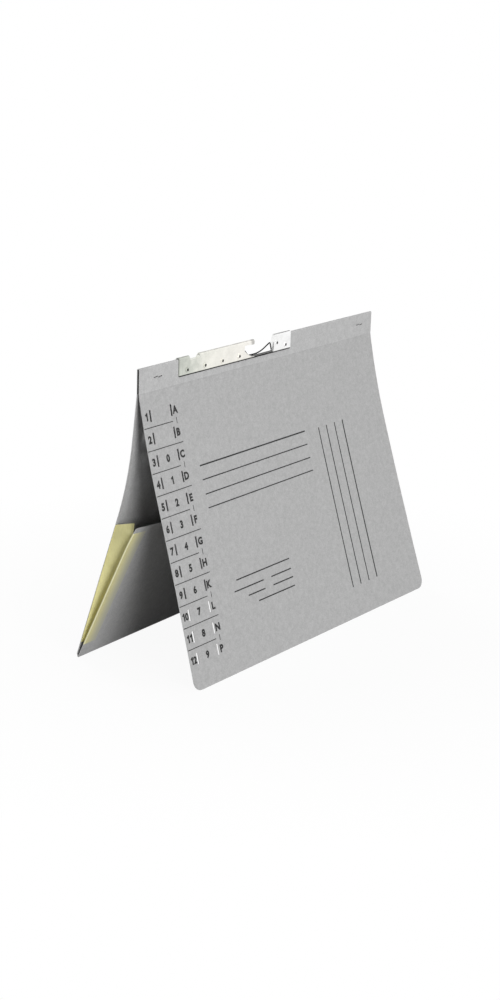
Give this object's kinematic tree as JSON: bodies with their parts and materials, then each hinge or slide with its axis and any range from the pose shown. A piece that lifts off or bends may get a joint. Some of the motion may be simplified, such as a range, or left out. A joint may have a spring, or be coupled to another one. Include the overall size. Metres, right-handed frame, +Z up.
{
  "type": "hanging file folder",
  "caption": "Creased card folder with a tinplate hook strip on its top edge, an expanding pocket and a prong fastener; it hangs from a rail, or stands open like a tent.",
  "frame": {"origin": "on the ground, halfway between the two bottom edges and the two sides", "axes": "+X along the top edge, to the right seen from the front; the front cover faces -Y; +Z up"},
  "size_m": [0.318, 0.118, 0.2324],
  "materials": {
    "card": "matt, finely mottled",
    "tape": "matt",
    "tinplate": "bright",
    "eyelet": "bright",
    "spring_steel": "blued",
    "staple_wire": "satin",
    "prong_steel": "satin",
    "patch_card": "matt"
  },
  "bodies": {
    "spine": {"spine_band": "card", "hanger_rail": "tinplate", "crimp_eyelets": "eyelet", "staple_left": "staple_wire", "staple_right": "staple_wire"},
    "front_cover": {"front_cover": "card"},
    "rear_cover": {"rear_cover": "card", "rear_lap_left": "tape", "rear_lap_right": "tape", "gusset_web_left": "tape", "gusset_web_right": "tape", "prong_strip": "prong_steel", "prong_patch": "patch_card", "retainer_bar": "prong_steel"},
    "pocket_flap": {"pocket_flap": "card", "flap_lap_left": "tape", "flap_lap_right": "tape"},
    "catch_wire": {"catch_wire": "spring_steel"},
    "slider_left": {"slider_left": "prong_steel"},
    "slider_right": {"slider_right": "prong_steel"}
  },
  "joints": [
    {"name": "front_cover_fold", "type": "hinge", "parent": "spine", "child": "front_cover", "pos_m": [0, 0.00196, 0.21298], "axis": [-1, 0, 0], "range_deg": [-6, 146]},
    {"name": "rear_cover_fold", "type": "hinge", "parent": "spine", "child": "rear_cover", "pos_m": [0, 0.00406, 0.21298], "axis": [1, 0, 0], "range_deg": [-4, 146]},
    {"name": "pocket_fold", "type": "hinge", "parent": "rear_cover", "child": "pocket_flap", "pos_m": [0, 0.05793, 0.00105], "axis": [1, 0, 0], "range_deg": [-7, 0], "deforming": ["gusset_web_left", "gusset_web_right"]},
    {"name": "catch_wire_flex", "type": "hinge", "parent": "spine", "child": "catch_wire", "pos_m": [-0.036, 0.00301, 0.22218], "axis": [0, 1, 0], "range_deg": [0, 7], "stiffness_Nm_per_rad": 0.05},
    {"name": "slider_left_slide", "type": "slide", "parent": "rear_cover", "child": "slider_left", "axis": [1, 0, 0], "range_m": [0, 0.045]},
    {"name": "slider_right_slide", "type": "slide", "parent": "rear_cover", "child": "slider_right", "axis": [-1, 0, 0], "range_m": [0, 0.045]}
  ]
}
